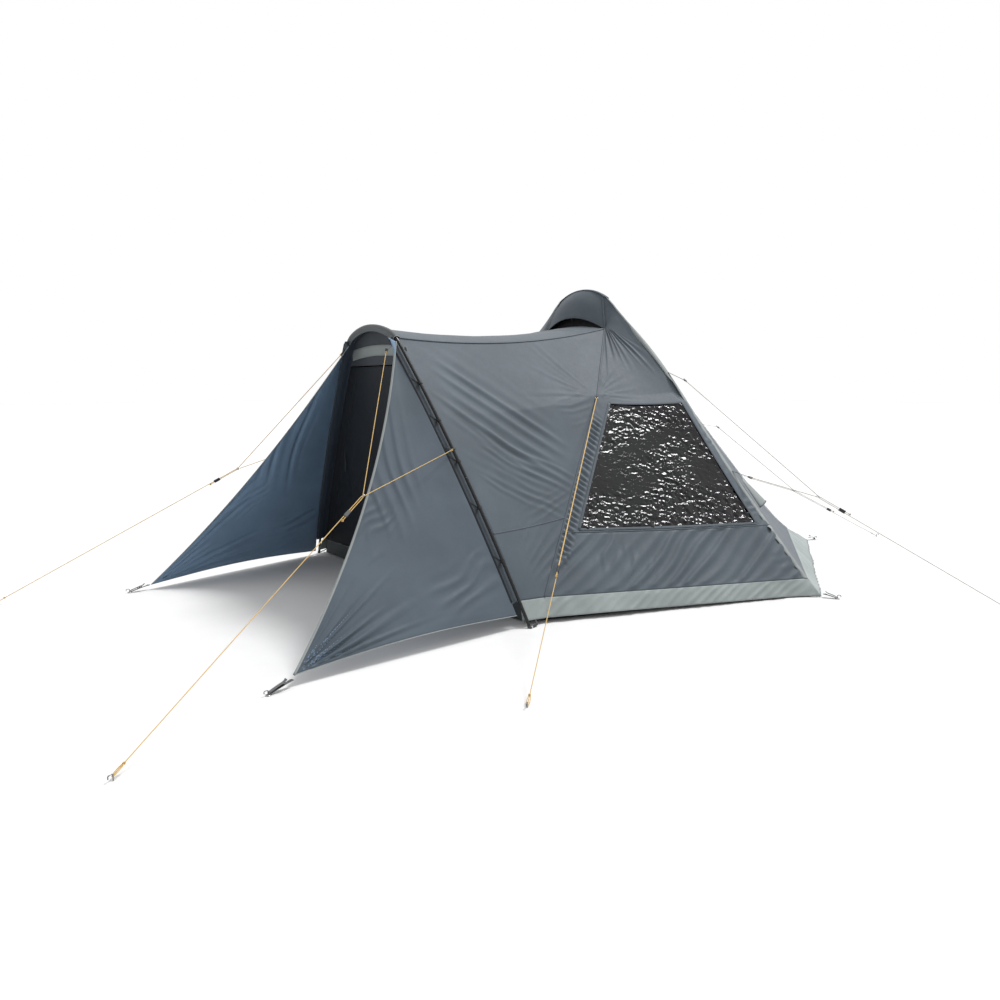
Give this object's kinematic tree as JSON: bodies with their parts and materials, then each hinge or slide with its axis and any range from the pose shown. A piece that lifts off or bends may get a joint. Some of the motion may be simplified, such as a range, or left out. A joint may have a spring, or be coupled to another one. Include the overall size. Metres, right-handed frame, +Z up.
{
  "type": "teepee tent with entry porch",
  "caption": "Pointed family tent on one inflated arch, with a pole arch entry, two porch wings, side windows, a roof vent hood, a zipped door and guy lines.",
  "frame": {"origin": "on the ground at the underside of the groundsheet, straight under the peak of the inflated arch", "axes": "+Z up, the door faces -Y, +X to the right seen from inside looking back from the door to +Y"},
  "size_m": [7.2676, 7.134, 2.4321],
  "materials": {
    "fly_fabric": "woven polyester, slate grey",
    "wing_fabric": "woven polyester, slate grey, darker inside",
    "skirt_fabric": "coated polyester, light grey green",
    "trim_fabric": "coated polyester, light grey green",
    "door_fabric": "woven polyester, near black",
    "mesh": "insect mesh",
    "window_film": "tinted clear film, creased",
    "groundsheet": "coated woven sheet",
    "beam_skin": "sleeved air tube",
    "valve_plastic": "moulded",
    "pole_steel": "black powder coat",
    "ferrule_steel": "plain",
    "clip_plastic": "moulded",
    "webbing": "woven webbing",
    "buckle_plastic": "moulded",
    "ring_steel": "zinc plated",
    "peg_steel": "zinc plated",
    "runner_plastic": "moulded",
    "guy_cord": "braided cord, amber",
    "zip_metal": "moulded"
  },
  "bodies": {
    "tent": {"arch_bridle_left": "guy_cord", "arch_bridle_right": "guy_cord", "arch_guy_left": "guy_cord", "arch_guy_right": "guy_cord", "door_surround": "door_fabric", "door_threshold": "skirt_fabric", "extension_panel_left": "fly_fabric", "extension_panel_right": "fly_fabric", "front_bridle_left": "guy_cord", "front_bridle_right": "guy_cord", "front_guy_left": "guy_cord", "front_guy_right": "guy_cord", "ground_pegs": "peg_steel", "groundsheet": "groundsheet", "ladder_locks": "buckle_plastic", "low_vent_hoods": "trim_fabric", "main_air_beam": "beam_skin", "metal_rings": "ring_steel", "pole_clips": "clip_plastic", "pole_ferrules": "ferrule_steel", "pole_leg_left": "pole_steel", "pole_leg_right": "pole_steel", "pole_sleeve": "trim_fabric", "pole_tips": "clip_plastic", "pole_top": "pole_steel", "rear_bridle_left": "guy_cord", "rear_bridle_right": "guy_cord", "rear_guy_left": "guy_cord", "rear_guy_right": "guy_cord", "rear_panel": "fly_fabric", "rear_side_panel_left": "fly_fabric", "rear_side_panel_right": "fly_fabric", "rear_skirts": "skirt_fabric", "roof_panel": "fly_fabric", "side_guy_left": "guy_cord", "side_guy_right": "guy_cord", "side_panel_left": "fly_fabric", "side_panel_right": "fly_fabric", "side_skirt_left": "skirt_fabric", "side_skirt_right": "skirt_fabric", "valve_body": "valve_plastic", "vent_hood": "fly_fabric", "vent_mesh": "mesh", "webbing_straps": "webbing", "window_left": "window_film", "window_right": "window_film", "wing_left": "wing_fabric", "wing_right": "wing_fabric"},
    "door": {"door_leaf": "door_fabric"},
    "zip": {"zip_slider": "zip_metal"},
    "valve_lid": {"valve_cap": "valve_plastic"},
    "front_runner_right": {"front_runner_right": "runner_plastic"},
    "side_runner_right": {"side_runner_right": "runner_plastic"},
    "arch_runner_right": {"arch_runner_right": "runner_plastic"},
    "rear_runner_right": {"rear_runner_right": "runner_plastic"},
    "front_runner_left": {"front_runner_left": "runner_plastic"},
    "side_runner_left": {"side_runner_left": "runner_plastic"},
    "arch_runner_left": {"arch_runner_left": "runner_plastic"},
    "rear_runner_left": {"rear_runner_left": "runner_plastic"}
  },
  "joints": [
    {"name": "door_swing", "type": "hinge", "parent": "tent", "child": "door", "pos_m": [-1.18834, -2.04342, 0.14463], "axis": [-0.494, 0.1121, -0.8622], "range_deg": [0, 60]},
    {"name": "zip_slide", "type": "slide", "parent": "door", "child": "zip", "axis": [-0.494, -0.1121, 0.8622], "range_m": [0, 1.6]},
    {"name": "valve_cap_hinge", "type": "hinge", "parent": "tent", "child": "valve_lid", "pos_m": [2.03146, 0.067, 0.28026], "axis": [0.6632, 0, -0.7485], "range_deg": [0, 95]},
    {"name": "front_runner_slide_right", "type": "slide", "parent": "tent", "child": "front_runner_right", "axis": [-0.3228, 0.8201, 0.4725], "range_m": [0, 0.09]},
    {"name": "side_runner_slide_right", "type": "slide", "parent": "tent", "child": "side_runner_right", "axis": [-0.4702, 0.7307, 0.495], "range_m": [0, 0.9]},
    {"name": "arch_runner_slide_right", "type": "slide", "parent": "tent", "child": "arch_runner_right", "axis": [-0.8547, -0.2202, 0.4701], "range_m": [0, 0.1]},
    {"name": "rear_runner_slide_right", "type": "slide", "parent": "tent", "child": "rear_runner_right", "axis": [-0.4807, -0.7527, 0.4498], "range_m": [0, 0.3]},
    {"name": "front_runner_slide_left", "type": "slide", "parent": "tent", "child": "front_runner_left", "axis": [0.3228, 0.8201, 0.4725], "range_m": [0, 0.09]},
    {"name": "side_runner_slide_left", "type": "slide", "parent": "tent", "child": "side_runner_left", "axis": [0.4702, 0.7307, 0.495], "range_m": [0, 0.9]},
    {"name": "arch_runner_slide_left", "type": "slide", "parent": "tent", "child": "arch_runner_left", "axis": [0.8547, -0.2202, 0.4701], "range_m": [0, 0.1]},
    {"name": "rear_runner_slide_left", "type": "slide", "parent": "tent", "child": "rear_runner_left", "axis": [0.4807, -0.7527, 0.4498], "range_m": [0, 0.3]}
  ]
}
